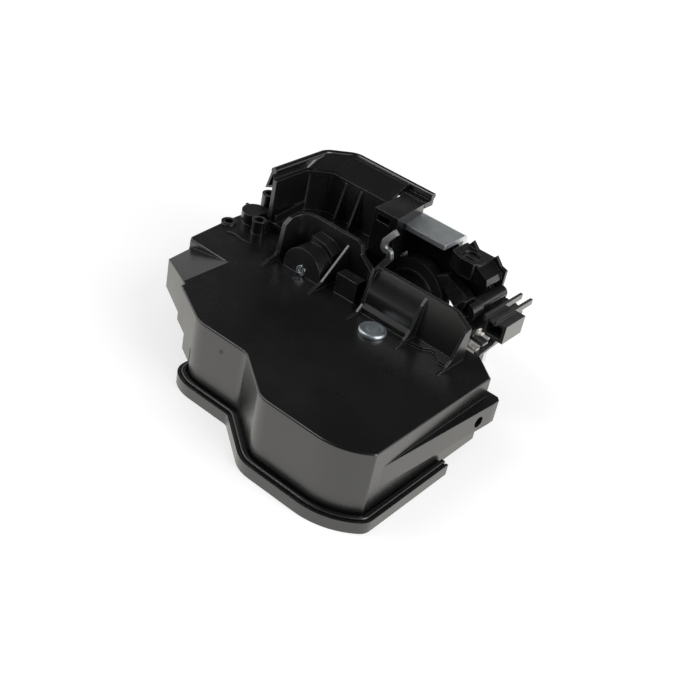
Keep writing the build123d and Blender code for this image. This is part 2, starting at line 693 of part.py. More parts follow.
def lock_boss():
    """Boss that carries the key nut, and the ear beside it."""
    back = shut_face_y - plate_thick
    outline = [(-50.6, 110), (-44.5, 107.3), (-38, 107.3), (-36, 110), (-36, back), (-50.6, back)]
    boss = plan(outline, 12.5, 20)
    ear = along([(-36.5, 12.5), (-36.5, 19.4), (-30.5, 16.0), (-29.5, 13.2)], 108, back)
    hole = rod_z(key_x, key_y, key_radius + round_gap, 10, 25)
    floor = rod_z(key_x, key_y, key_radius + round_gap, 12.5, 14) - rod_z(key_x, key_y, 2.5, 10, 25)
    return boss + ear - hole + floor


def key_nut():
    """Nut turned by the lock cylinder's tail, with a slot across it."""
    nut = rod_z(key_x, key_y, key_radius, 14 + side_gap, 18.5) + rod_z(key_x, key_y, 2.4, 10.5, 15)
    return nut - box(key_x - 3, key_x + 3, key_y - 0.9, key_y + 0.9, 16, 19)


def catch_outline(radius, slot, notch_depth):
    """Forked catch seen from the front, in its open position, about its own axis."""
    disc = Circle(radius)
    way = Rot(0, 0, -catch_open_angle) * Pos(seat_reach() + 15, 0) * Rectangle(30, slot)
    way += Rot(0, 0, -catch_open_angle) * Pos(seat_reach(), 0) * Circle(slot / 2)
    meet = pawl_meet_angle - catch_open_angle + 6
    step = Rot(0, 0, meet) * Pos(radius, -2.5) * Rectangle(2 * notch_depth, 5)
    bite = Rot(0, 0, -150) * Pos(radius, 0) * Rectangle(8, 26)
    return disc - way - step - bite


def seat_reach():
    return throat_x - catch_x


def catch_slab(face, y_from, y_to):
    """A face seen from the front, placed on the catch's axis and extruded along Y."""
    return extrude(Plane.XZ.offset(-y_to) * Pos(catch_x, catch_z) * face, y_to - y_from)


def catch_steel():
    """Steel plate of the catch, without its hole."""
    face = catch_outline(catch_radius - 1.2, slot_width + 1.6, 2.0)
    return catch_slab(face, catch_front + catch_skin, catch_front + catch_thick - catch_skin)


def catch_core():
    """Hardened steel core of the catch."""
    return catch_steel() - rod_y(catch_x, catch_z, catch_pin_radius + run_gap, 105, 120)


def catch_cover():
    """Quiet plastic skin moulded over the core, with a raised ring in front."""
    face = catch_outline(catch_radius, slot_width, 3.0)
    skin = catch_slab(face, catch_front, catch_front + catch_thick)
    ring = catch_outline(catch_ring, slot_width, 0.1) - Circle(catch_ring - 1.2)
    skin += catch_slab(ring, catch_front - 0.9, catch_front + 0.4)
    skin -= catch_steel()
    return skin - rod_y(catch_x, catch_z, catch_pin_radius + 2.0, 105, 120)


def pawl():
    outline = [(-38, 2), (-50, 7.5), (-55.2, 4.6), (-53.0, 2.2), (-49, -1.0), (-40, -8)]
    low = catch_front + 0.5
    body = along(outline, low, low + 5) + rod_y(pawl_x, pawl_z, pawl_hub_radius, low, low + 5)
    body += rod_y(pawl_x, pawl_z, pawl_hub_radius, partition_y + 2 + side_gap, low)
    return body - rod_y(pawl_x, pawl_z, pawl_pin_radius + run_gap, 90, 130)


def release_lever():
    """Zinc lever on the catch pin; its S-shaped finger stands up beside the plate's tab."""
    bends = [(-0.8, release_tip), (-5.2, 20.9), (-5.6, 17.2), (-1.9, 17.2)]
    bends += [(-1.2, 14.2), (-4.6, 9.0), (-4.6, 2.0), (-1.5, catch_z + 5)]
    path = [(catch_x + offset, z) for offset, z in bends]
    line = FilletPolyline(*path, radius=[1.3, 1.3, 1.3, 1.3, 1.3, 1.3])
    strip = Plane.XZ.offset(-(release_y + release_thick)) * trace(line, 2.6)
    lever = extrude(strip, release_thick)
    lever += rod_y(catch_x, catch_z, 7.0, release_y, release_y + release_thick)
    arm = [(catch_x, catch_z + 5), (peg_x, peg_z + 2.5), (peg_x, peg_z - 2.5), (catch_x, catch_z - 6)]
    lever += along(arm, release_y, release_y + release_thick)
    lever += rod_y(peg_x, peg_z, 2.5, release_y, release_y + release_thick)
    lever += rod_y(peg_x, peg_z, peg_radius, frame_front + 2.6, release_y + 1)
    return lever - rod_y(catch_x, catch_z, catch_pin_radius + run_gap, 80, 130)


def catch_pin():
    """Rivet of the catch, from the frame's front wall to the shut face."""
    return rod_y(catch_x, catch_z, catch_pin_radius, frame_front + 1, shut_face_y)


def pawl_pin():
    """Rivet of the pawl, from the pin web to the shut face."""
    return rod_y(pawl_x, pawl_z, pawl_pin_radius, partition_y + 0.5, shut_face_y)


def catch_spring():
    """Close-wound torsion spring round the catch pin."""
    middle = 104.0
    wire = [Pos(catch_x + 5.0, middle + 1.0 * n) * Circle(0.6) for n in range(-1, 3)]
    section = Pos(catch_x + 5.0, middle + 0.5) * Rectangle(0.7, 3.0)
    section += wire
    spring = revolve(Pos(0, 0, catch_z) * section, Axis((catch_x, 0, catch_z), (0, 1, 0)))
    return spring


def striker_buffer():
    """Rubber stop at the top of the striker's way."""
    inside = shut_face_y - plate_thick
    web_y = inside - frame_back_thick
    block = box(throat_x - 4.5, throat_x + 4.5, web_y + 0.5, inside, seat_z + 5, seat_z + 9.5)
    return block - rod_y(throat_x, seat_z + 1, throat_width / 2 + 0.2, web_y - 1, shut_face_y)


# ---- rear shield -----------------------------------------------------------------------
def shield_frustum(lift):
    """Body between the wall's top line and the bead's line; the flange is the skin of it."""
    right = plate_left - 0.1
    corner = shield_edge_left + 10.0
    front = shield_front
    wall_line = [(shield_left, front), (shield_left, 104.0), (-121.0, shield_wall_y)]
    wall_line += [(right, shield_wall_y), (right, front)]
    edge_line = [(shield_edge_left, front), (shield_edge_left, shield_edge_y - 10.5)]
    edge_line += [(corner, shield_edge_y), (right, shield_edge_y), (right, front)]
    low = Pos(0, 0, shield_wall_top - 2.0 + lift) * rounded(wall_line, 2.5)
    high = Pos(0, 0, shield_edge_top + lift) * rounded(edge_line, 7.0)
    return loft([low, high], ruled=True)


def rounded(points, radius):
    """A closed outline whose second and third corners are rounded."""
    face = make_face(Polyline(*points, close=True))
    corners = []
    for x, y in points[1:3]:
        corners += [v for v in face.vertices() if abs(v.X - x) < 0.001 and abs(v.Y - y) < 0.001]
    return fillet(corners, radius)


def rear_shield():
    """Left rear moulding: raised floor, wall with gussets, sloping flange and its bead."""
    right = plate_left - 0.1
    edge = shield_left + 2.0
    wall_back = shield_wall_y - 2.0
    floor_line = [(shield_left, shield_front), (shield_left, 104.0), (-121.0, shield_wall_y)]
    floor_line += [(right, shield_wall_y), (right, shield_front)]
    inner_line = [(edge, shield_front - 1.5), (edge, 103.2), (-120.2, wall_back), (right + 5, wall_back)]
    inner_line += [(right + 5, shield_front - 1.5)]
    floor = plan(floor_line, shield_floor - 2, shield_floor)
    floor -= box(niche_left - 2, right + 5, shield_front - 1, niche_y + niche_thick + 0.3, 0, 10)
    wall_part = Pos(0, 0, -10) * extrude(rounded(floor_line, 2.5), shield_wall_top + 9.4)
    wall_part -= Pos(0, 0, -11) * extrude(rounded(inner_line, 3.0), shield_wall_top + 11)
    flange = shield_frustum(0) - shield_frustum(flange_thick)
    keep = [(-150, 70), (-150, 140), (right, 140), (right, wall_back), (-119, wall_back)]
    keep += [(edge, 102), (edge, 70)]
    flange &= plan(keep, 15, 40)
    rail = [(-124.4, shield_front + 0.2), (-126.9, 104.0), (-128.1, 104.0), (-125.6, shield_front + 0.2)]
    shield = floor + wall_part + flange + plan(rail, shield_floor - 1, shield_floor + 4)
    bead_line = [(shield_edge_left, shield_front), (shield_edge_left, shield_edge_y - 10.5)]
    bead_line += [(shield_edge_left + 10.0, shield_edge_y), (shield_end_x, shield_edge_y)]
    bead_line = Pos(0, 0, shield_edge_top - 0.6) * FilletPolyline(*bead_line, radius=7.0)
    start = Plane(bead_line @ 0, z_dir=bead_line % 0)
    shield += sweep(start * Circle(shield_bead_radius), bead_line)
    inside = shut_face_y - plate_thick
    strip_back = shield_edge_y + 0.6
    shield += box(right - 2, shield_end_x, inside + 0.3, strip_back, 24.4, 27.0)
    shield += box(right - 2, shield_end_x, strip_back - 1.8, strip_back, 24.4, shield_edge_top - 1.2)
    band = [(shield_edge_left - 0.9, shield_edge_top), (shield_edge_left + 0.4, shield_edge_top)]
    band += [(shield_skirt_x + 1.4, shield_skirt + 1.4), (edge - 1, shield_skirt + 3.4)]
    band += [(edge - 1, shield_skirt + 2.0), (shield_skirt_x, shield_skirt)]
    shield += along(band, shield_front, shield_edge_y - 10.5) & box(-140, edge, 60, 104.0, 0, 40)
    for x in (-111.0, -102.2):
        foot = shield_wall_y - 7.0
        back = shield_wall_y - 1
        low = shield_floor - 1
        gusset = [(back, low), (foot, low), (foot, low + 2.5), (back - 1.2, 23.4), (back, 23.4)]
        shield += across(gusset, x - rib_thick / 2, x + rib_thick / 2)
    return shield


# ---- connector -------------------------------------------------------------------------
def connector_shroud():
    """Socket of the wiring plug, with two guide bars on top."""
    left, right, front, back = plug_left, plug_left + plug_width, plug_front, plug_front + plug_length
    shell = box(left, right, front, back, plug_bottom, plug_top)
    shell -= box(left + 1.4, right - 1.4, front - 1, back - 3, plug_bottom + 1.4, plug_top - 1.4)
    for x in (left + 0.65, left + plug_width * 0.55):
        shell += box(x - 0.65, x + 0.65, front - 2, back + 11.5, plug_top - 1, plug_top + 1.6)
    shell += box(left, left + plug_arm, back - 1, back + 11.5, plug_bottom + 2, plug_bottom + 4)
    return shell - connector_pins()


def connector_pins():
    """Contact blades in the socket."""
    made = []
    for row in range(2):
        for n in range(4):
            x = plug_left + 2.4 + n * 1.9
            z = plug_bottom + 3.0 + row * 3.4
            blade = box(x - 0.4, x + 0.4, plug_front + 5, plug_front + plug_length - 1, z - 0.3, z + 0.3)
            made.append(blade)
    return Compound(made)


def cable_guide():
    """Sleeve seat for the handle cable, on the shelf of the frame."""
    tube = rod_y(guide_x, guide_z, 3.0, 96, 116.5) + rod_y(guide_x, guide_z, 4.4, 89, 96)
    tube += box(guide_x - 2, guide_x + 2, 90, 116, shelf_top, guide_z)
    tube -= rod_y(guide_x, guide_z, guide_bore, 80, 130)
    return tube - box(guide_x - 1.0, guide_x + 1.0, 80, 97, guide_z, guide_z + 6)


# ---- all pieces ------------------------------------------------------------------------
pieces = {
    "main_housing": main_housing,
    "bottom_cover": bottom_cover,
    "side_cover": side_cover,
    "cover_screws": cover_screws,
    "niche_screw": niche_screw,
    "latch_frame": latch_frame,
    "latch_plate": latch_plate,
    "rear_shield": rear_shield,
    "connector_shroud": connector_shroud,
    "connector_pins": connector_pins,
    "cable_guide": cable_guide,
    "catch_pin": catch_pin,
    "pawl_pin": pawl_pin,
    "catch_core": catch_core,
    "catch_cover": catch_cover,
    "catch_spring": catch_spring,
    "pawl": pawl,
    "release_lever": release_lever,
    "striker_buffer": striker_buffer,
    "key_nut": key_nut,
    "pivot_pin": pivot_pin,
    "inside_lever": inside_lever,
    "lock_lever": lock_lever,
    "worm_wheel": worm_wheel,
    "wheel_axle": wheel_axle,
    "worm": worm,
    "motor": motor,
    "motor_shaft": motor_shaft,
}

for name, make in pieces.items():
    print(name, flush=True)
    solid = Pos(-origin.X, -origin.Y, -origin.Z) * make()
    export_step(solid, f"parts/{name}.step")
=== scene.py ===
import bpy
from math import cos, pi, radians, sin
from mathutils import Matrix, Vector


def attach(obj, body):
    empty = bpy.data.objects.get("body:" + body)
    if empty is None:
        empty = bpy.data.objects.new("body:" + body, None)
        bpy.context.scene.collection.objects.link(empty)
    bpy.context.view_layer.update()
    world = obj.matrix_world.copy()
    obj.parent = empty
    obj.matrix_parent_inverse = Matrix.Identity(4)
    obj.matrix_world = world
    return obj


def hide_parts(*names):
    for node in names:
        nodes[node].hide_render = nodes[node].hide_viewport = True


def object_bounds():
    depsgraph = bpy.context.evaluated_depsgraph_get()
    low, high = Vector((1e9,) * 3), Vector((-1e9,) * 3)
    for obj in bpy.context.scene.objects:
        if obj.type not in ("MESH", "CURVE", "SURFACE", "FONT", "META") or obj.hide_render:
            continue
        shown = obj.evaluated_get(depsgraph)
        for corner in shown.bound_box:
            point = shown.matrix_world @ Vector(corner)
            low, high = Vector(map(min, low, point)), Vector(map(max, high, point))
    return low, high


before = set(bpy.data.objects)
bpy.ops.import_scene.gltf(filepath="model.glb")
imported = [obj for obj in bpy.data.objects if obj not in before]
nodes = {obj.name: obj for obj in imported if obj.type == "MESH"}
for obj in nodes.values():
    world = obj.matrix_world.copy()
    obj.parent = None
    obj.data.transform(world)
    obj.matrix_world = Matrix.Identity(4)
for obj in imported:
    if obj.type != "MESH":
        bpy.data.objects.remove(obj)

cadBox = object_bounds()
mm = 0.001       # the pieces are written in millimetres
nearby = 0.05    # millimetres within which two places count as the same
squareOn = 0.9   # how far along an axis the normal of a face must go to count as facing it
print("frame loaded,", len(nodes), "nodes")


# choosing, editing and finishing a piece
def deselectAll():
    if bpy.context.object and bpy.context.object.mode == "EDIT":
        bpy.ops.object.mode_set(mode="OBJECT")
    bpy.ops.object.select_all(action="DESELECT")


def selectOnly(piece):
    deselectAll()
    piece.select_set(True)
    bpy.context.view_layer.objects.active = piece


def openAll(piece):
    # edit mode, with the whole mesh selected
    selectOnly(piece)
    bpy.ops.object.mode_set(mode="EDIT")
    bpy.ops.mesh.select_all(action="SELECT")


def openPicked(piece, kind, wanted):
    # edit mode, with the vertices or faces selected that pass a test
    selectOnly(piece)
    bpy.ops.object.mode_set(mode="EDIT")
    bpy.ops.mesh.select_mode(type=kind)
    bpy.ops.mesh.select_all(action="DESELECT")
    bpy.ops.object.mode_set(mode="OBJECT")
    parts = piece.data.polygons if kind == "FACE" else piece.data.vertices
    for part in parts:
        part.select = wanted(part)
    bpy.ops.object.mode_set(mode="EDIT")


def closeEdit():
    bpy.ops.object.mode_set(mode="OBJECT")


def closeOutwards():
    # leaves edit mode with every face looking outwards
    bpy.ops.mesh.select_all(action="SELECT")
    bpy.ops.mesh.normals_make_consistent(inside=False)
    closeEdit()


def applyPlace(piece):
    selectOnly(piece)
    bpy.ops.object.transform_apply(location=True, rotation=True, scale=True)


def applyModifiers(piece):
    selectOnly(piece)
    for modifier in list(piece.modifiers):
        bpy.ops.object.modifier_apply(modifier=modifier.name)


def joined(pieces):
    deselectAll()
    for piece in pieces:
        piece.select_set(True)
    bpy.context.view_layer.objects.active = pieces[0]
    bpy.ops.object.join()
    return pieces[0]


def placed(piece, place, turn=(0, 0, 0)):
    piece.rotation_euler = turn
    piece.location = Vector(place) * mm
    applyPlace(piece)
    return piece


def finished(piece, name, body, finishName, angle=35):
    applyPlace(piece)
    piece.name = piece.data.name = name
    bpy.ops.object.shade_smooth_by_angle(angle=radians(angle))
    piece.data.materials.clear()
    piece.data.materials.append(finishes[finishName])
    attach(piece, body)
    return piece


# camera
cameraSetup = {
    "place": (0.203872, -0.391886, 0.261),
    "right": (0.7584, 0.6273, 0.1772),
    "up": (-0.4751, 0.3457, 0.8092),
    "back": (0.4463, -0.6978, 0.5602),
    "focalPixels": 1141.6,
    "frameSide": 700,
    "centreRise": 5,
    "sensorWidth": 36,
    "nearest": 0.01,
    "farthest": 20,
}


def addCamera(setup):
    bpy.ops.object.camera_add(location=setup["place"])
    camera = bpy.context.object
    camera.name = "studioCamera"
    axes = [Vector(setup[name]) for name in ("right", "up", "back")]
    camera.rotation_mode = "QUATERNION"
    camera.rotation_quaternion = Matrix(axes).transposed().to_quaternion()
    camera.data.sensor_width = setup["sensorWidth"]
    camera.data.lens = setup["sensorWidth"] * setup["focalPixels"] / setup["frameSide"]
    camera.data.shift_y = -setup["centreRise"] / setup["frameSide"]
    camera.data.clip_start = setup["nearest"]
    camera.data.clip_end = setup["farthest"]
    bpy.context.scene.camera = camera


deselectAll()
addCamera(cameraSetup)
print("camera set")


# shader nodes
def addNode(tree, kind, place, group=None, **inputs):
    node = tree.nodes.new(kind)
    node.location = place
    if group:
        node.node_tree = group
    for name, value in inputs.items():
        node.inputs[name.replace("_", " ")].default_value = value
    return node


def useGroup(tree, group, place, **inputs):
    return addNode(tree, "ShaderNodeGroup", place, group, **inputs)


def newGroup(name, inputs, outputs):
    group = bpy.data.node_groups.new(name, "ShaderNodeTree")
    for label, value in inputs.items():
        socket = group.interface.new_socket(name=label, in_out="INPUT", socket_type="NodeSocketFloat")
        socket.default_value = value
    for label, kind in outputs.items():
        group.interface.new_socket(name=label, in_out="OUTPUT", socket_type=kind)
    start = addNode(group, "NodeGroupInput", (-900, 0))
    end = addNode(group, "NodeGroupOutput", (900, 0))
    return group, start, end


def noiseNode(tree, place, vector, **inputs):
    node = addNode(tree, "ShaderNodeTexNoise", place, **inputs)
    tree.links.new(vector, node.inputs["Vector"])
    return node


def mathNode(tree, operation, place, *values, clamp=False):
    # numbers are set on the sockets, and outputs of other nodes are linked to them
    node = addNode(tree, "ShaderNodeMath", place)
    node.operation = operation
    node.use_clamp = clamp
    for index, value in enumerate(values):
        if isinstance(value, (int, float)):
            node.inputs[index].default_value = value
        else:
            tree.links.new(value, node.inputs[index])
    return node.outputs[0]


def rangeNode(tree, place, value, low, high, toLow=0.0, toHigh=1.0):
    node = addNode(tree, "ShaderNodeMapRange", place,
                   From_Min=low, From_Max=high, To_Min=toLow, To_Max=toHigh)
    tree.links.new(value, node.inputs["Value"])
    return node.outputs["Result"]


def mixShaders(tree, place, mask, first, second):
    node = addNode(tree, "ShaderNodeMixShader", place)
    for index, output in enumerate((mask, first, second)):
        tree.links.new(output, node.inputs[index])
    return node.outputs[0]


def blendColour(tree, place, mask, first, second):
    node = addNode(tree, "ShaderNodeMix", place)
    node.data_type = "RGBA"
    tree.links.new(mask, node.inputs["Factor"])
    for index, value in ((6, first), (7, second)):    # the two colour sockets
        if hasattr(value, "links"):
            tree.links.new(value, node.inputs[index])
        else:
            node.inputs[index].default_value = (*value, 1)
    return node.outputs[2]


def addBump(tree, shader, place, height, strength, depth, normal=None):
    bump = addNode(tree, "ShaderNodeBump", place, Strength=strength, Distance=depth)
    tree.links.new(height, bump.inputs["Height"])
    if normal is not None:
        tree.links.new(normal, bump.inputs["Normal"])
    tree.links.new(bump.outputs["Normal"], shader.inputs["Normal"])


# effects that several finishes share
# the edge effect is a painted highlight along edges, broken up by spots
edgeEffect = {"samples": 6, "spotScale": 900.0, "spotDetail": 3.0, "spotRoughness": 0.6, "spots": (0.35, 0.65)}


def makeEdgeGroup(effect):
    # painted edge highlights: how far the rounded normal leans away from the flat one gives a mask that
    # lightens the colour along edges; the rounded normal also goes on to the shading
    group, start, end = newGroup("paintedEdgeHighlight", {"Radius": 0.0004, "Strength": 1.0, "Break Up": 0.5},
                                 {"Mask": "NodeSocketFloat", "Normal": "NodeSocketVector"})
    bevel = addNode(group, "ShaderNodeBevel", (-600, 200))
    bevel.samples = effect["samples"]
    group.links.new(start.outputs["Radius"], bevel.inputs["Radius"])
    geometry = addNode(group, "ShaderNodeNewGeometry", (-600, -100))
    dot = addNode(group, "ShaderNodeVectorMath", (-400, 100))
    dot.operation = "DOT_PRODUCT"
    group.links.new(bevel.outputs["Normal"], dot.inputs[0])
    group.links.new(geometry.outputs["Normal"], dot.inputs[1])
    lean = mathNode(group, "SUBTRACT", (-200, 100), 1.0, dot.outputs["Value"])
    coords = addNode(group, "ShaderNodeTexCoord", (-800, -300))
    noise = noiseNode(group, (-600, -300), coords.outputs["Object"], Scale=effect["spotScale"],
                      Detail=effect["spotDetail"], Roughness=effect["spotRoughness"])
    spots = rangeNode(group, (-350, -300), noise.outputs["Fac"], *effect["spots"])
    kept = mathNode(group, "SUBTRACT", (-200, -150), 1.0, start.outputs["Break Up"])
    broken = mathNode(group, "MULTIPLY", (0, -250), spots, start.outputs["Break Up"])
    cover = mathNode(group, "ADD", (150, -200), kept, broken)
    scaled = mathNode(group, "MULTIPLY", (150, 100), lean, start.outputs["Strength"])
    mask = mathNode(group, "MULTIPLY", (400, 0), scaled, cover, clamp=True)
    group.links.new(mask, end.inputs["Mask"])
    group.links.new(bevel.outputs["Normal"], end.inputs["Normal"])
    return group


grainEffect = {
    "fine": {"Detail": 2.0, "Roughness": 0.5},
    "slow": {"Scale": 70.0, "Detail": 1.0, "Roughness": 0.4},
    "patches": {"Scale": 28.0, "Detail": 4.0, "Roughness": 0.62},
}


def makeGrainGroup(effect):
    # fine spark-eroded mould grain and the slow waviness of a moulded wall
    group, start, end = newGroup("mouldGrain", {"Grain Size": 4000.0, "Grain": 0.5, "Waviness": 0.5},
                                 {"Height": "NodeSocketFloat", "Patches": "NodeSocketFloat"})
    coords = addNode(group, "ShaderNodeTexCoord", (-900, 200)).outputs["Object"]
    fine = noiseNode(group, (-600, 200), coords, **effect["fine"])
    group.links.new(start.outputs["Grain Size"], fine.inputs["Scale"])
    slow = noiseNode(group, (-600, -100), coords, **effect["slow"])
    grainPart = mathNode(group, "MULTIPLY", (-300, 200), fine.outputs["Fac"], start.outputs["Grain"])
    wavePart = mathNode(group, "MULTIPLY", (-300, -100), slow.outputs["Fac"], start.outputs["Waviness"])
    height = mathNode(group, "ADD", (0, 100), grainPart, wavePart)
    patches = noiseNode(group, (-600, -400), coords, **effect["patches"])
    group.links.new(height, end.inputs["Height"])
    group.links.new(patches.outputs["Fac"], end.inputs["Patches"])
    return group


smudgeEffect = {
    "stretch": {"Rotation": (0.2, 0.1, 0.6), "Scale": (1.0, 3.2, 1.6)},
    "wipes": {"Detail": 5.0, "Roughness": 0.55, "Distortion": 0.6},
    "shown": (0.52, 0.75),
}


def makeSmudgeGroup(effect):
    # handling marks: faint stretched wipes that change the gloss
    group, start, end = newGroup("handlingSmudge", {"Scale": 22.0, "Amount": 0.5}, {"Mask": "NodeSocketFloat"})
    coords = addNode(group, "ShaderNodeTexCoord", (-900, 0))
    turn = addNode(group, "ShaderNodeMapping", (-700, 0), **effect["stretch"])
    group.links.new(coords.outputs["Object"], turn.inputs["Vector"])
    wipes = noiseNode(group, (-480, 0), turn.outputs["Vector"], **effect["wipes"])
    group.links.new(start.outputs["Scale"], wipes.inputs["Scale"])
    picked = rangeNode(group, (-250, 0), wipes.outputs["Fac"], *effect["shown"])
    mask = mathNode(group, "MULTIPLY", (100, 0), picked, start.outputs["Amount"], clamp=True)
    group.links.new(mask, end.inputs["Mask"])
    return group


edgeGroup = makeEdgeGroup(edgeEffect)
grainGroup = makeGrainGroup(grainEffect)
smudgeGroup = makeSmudgeGroup(smudgeEffect)


def newMaterial(name):
    material = bpy.data.materials.new(name)
    material.use_nodes = True
    tree = material.node_tree
    shader = tree.nodes["Principled BSDF"]
    shader.location = (700, 0)
    tree.nodes["Material Output"].location = (1000, 0)
    return material, tree, shader


# moulded plastics
# each highlightColour is a painted highlight laid along the edges
plasticLooks = {
    "housingBlack": {
        "colour": (0.0062, 0.0062, 0.0065), "highlightColour": (0.13, 0.132, 0.136), "rough": 0.26, "grain": 0.2,
        "wave": 0.5, "smudge": 0.08, "edge": 0.00035, "specular": 1.0, "coat": 0.0},
    "frameBlack": {
        "colour": (0.0056, 0.0056, 0.0060), "highlightColour": (0.13, 0.132, 0.136), "rough": 0.24, "grain": 0.2,
        "wave": 0.6, "smudge": 0.25, "edge": 0.0003, "specular": 1.0, "coat": 0.2},
    "coverBlack": {
        "colour": (0.0095, 0.0095, 0.0098), "highlightColour": (0.04, 0.04, 0.042), "rough": 0.36, "grain": 0.5,
        "wave": 0.5, "smudge": 0.5, "edge": 0.0004, "specular": 0.8, "coat": 0.0},
    "socketGrey": {
        "colour": (0.030, 0.030, 0.031), "highlightColour": (0.22, 0.22, 0.225), "rough": 0.26, "grain": 0.3,
        "wave": 0.4, "smudge": 0.3, "edge": 0.0003, "specular": 1.0, "coat": 0.9},
    # its colour is partly the plastic's own and partly raised as painted light, for the catch that sits deep
    # in a shaded recess
    "leverBlack": {
        "colour": (0.022, 0.022, 0.0225), "highlightColour": (0.20, 0.20, 0.20), "rough": 0.28, "grain": 0.3,
        "wave": 0.3, "smudge": 0.2, "edge": 0.0003, "specular": 0.8, "coat": 0.0},
    "acetalNatural": {
        "colour": (0.62, 0.60, 0.55), "highlightColour": (0.72, 0.71, 0.67), "rough": 0.38, "grain": 0.15,
        "wave": 0.2, "smudge": 0.2, "edge": 0.0002, "specular": 0.5, "coat": 0.0},
}
plasticShared = {
    "grainSize": 5200.0, "smudgeScale": 19.0, "smudgeRough": 0.16,
    "edgeStrength": 2.8, "edgeBreakUp": 0.3,
    "tintPatches": (0.35, 0.7), "dullShare": 1.3,
    "roughPatches": (0.3, 0.75), "smoother": 0.04, "rougher": 0.07,
    "bump": 0.5, "bumpDepth": 0.00003, "ior": 1.55, "coatRough": 0.12,
}


def mouldedPlastic(name, look, shared):
    material, tree, shader = newMaterial(name)
    grain = useGroup(tree, grainGroup, (-500, -250), Grain_Size=shared["grainSize"],
                     Grain=look["grain"], Waviness=look["wave"])
    smudge = useGroup(tree, smudgeGroup, (-500, -550), Scale=shared["smudgeScale"], Amount=look["smudge"])
    edge = useGroup(tree, edgeGroup, (-500, 200), Radius=look["edge"],
                    Strength=shared["edgeStrength"], Break_Up=shared["edgeBreakUp"])
    patches = grain.outputs["Patches"]
    tint = rangeNode(tree, (-250, 60), patches, *shared["tintPatches"])
    dull = tuple(value * shared["dullShare"] for value in look["colour"])
    body = blendColour(tree, (0, 200), tint, look["colour"], dull)
    # edges blended towards the highlight colour: a painted highlight
    highlighted = blendColour(tree, (250, 200), edge.outputs["Mask"], body, look["highlightColour"])
    tree.links.new(highlighted, shader.inputs["Base Color"])
    rough = rangeNode(tree, (0, -100), patches, *shared["roughPatches"],
                      look["rough"] - shared["smoother"], look["rough"] + shared["rougher"])
    marked = mathNode(tree, "MULTIPLY_ADD", (250, -150), smudge.outputs["Mask"], shared["smudgeRough"], rough)
    tree.links.new(marked, shader.inputs["Roughness"])
    addBump(tree, shader, (450, -300), grain.outputs["Height"], shared["bump"], shared["bumpDepth"],
            edge.outputs["Normal"])
    shader.inputs["Specular IOR Level"].default_value = look["specular"]
    shader.inputs["IOR"].default_value = shared["ior"]
    shader.inputs["Coat Weight"].default_value = look["coat"]
    shader.inputs["Coat Roughness"].default_value = shared["coatRough"]
    return material


finishes = {name: mouldedPlastic(name, look, plasticShared) for name, look in plasticLooks.items()}
print("plastics made:", len(plasticLooks))


# metals
# each highlightColour is a painted highlight laid along the edges
metalLooks = {
    "zincPlate": {
        "colour": (0.86, 0.91, 0.93), "dark": (0.79, 0.84, 0.86), "highlightColour": (0.86, 0.88, 0.88),
        "rough": 0.46, "spangle": 1700.0, "edge": 0.0003},
    "zincLever": {
        "colour": (0.86, 0.88, 0.90), "dark": (0.80, 0.82, 0.84), "highlightColour": (0.95, 0.96, 0.96),
        "rough": 0.36, "spangle": 1500.0, "edge": 0.0003},
    "zincScrew": {
        "colour": (0.86, 0.91, 0.94), "dark": (0.70, 0.76, 0.79), "highlightColour": (0.92, 0.94, 0.95),
        "rough": 0.21, "spangle": 900.0, "edge": 0.0002},
    "zincRivet": {
        "colour": (0.76, 0.84, 0.88), "dark": (0.60, 0.67, 0.71), "highlightColour": (0.85, 0.86, 0.86),
        "rough": 0.42, "spangle": 420.0, "edge": 0.0003},
    "groundSteel": {
        "colour": (0.36, 0.36, 0.37), "dark": (0.25, 0.25, 0.26), "highlightColour": (0.66, 0.66, 0.66),
        "rough": 0.32, "spangle": 900.0, "edge": 0.0003},
    "motorCan": {
        "colour": (0.48, 0.49, 0.50), "dark": (0.34, 0.35, 0.36), "highlightColour": (0.74, 0.74, 0.74),
        "rough": 0.36, "spangle": 500.0, "edge": 0.0003},
    "springWire": {
        "colour": (0.20, 0.20, 0.215), "dark": (0.13, 0.13, 0.14), "highlightColour": (0.4, 0.4, 0.4),
        "rough": 0.33, "spangle": 1200.0, "edge": 0.0001},
    "tinnedBrass": {
        "colour": (0.66, 0.60, 0.44), "dark": (0.50, 0.44, 0.30), "highlightColour": (0.8, 0.76, 0.66),
        "rough": 0.28, "spangle": 1500.0, "edge": 0.0001},
}
metalShared = {
    "cloud": {"Scale": 180.0, "Detail": 4.0, "Roughness": 0.6},
    "edgeStrength": 2.6, "edgeBreakUp": 0.3,
    "tonePatches": (0.05, 0.45),
    "roughPatches": (0.3, 0.7), "smoother": 0.06, "rougher": 0.10,
    "bump": 0.35, "bumpDepth": 0.00002,
}


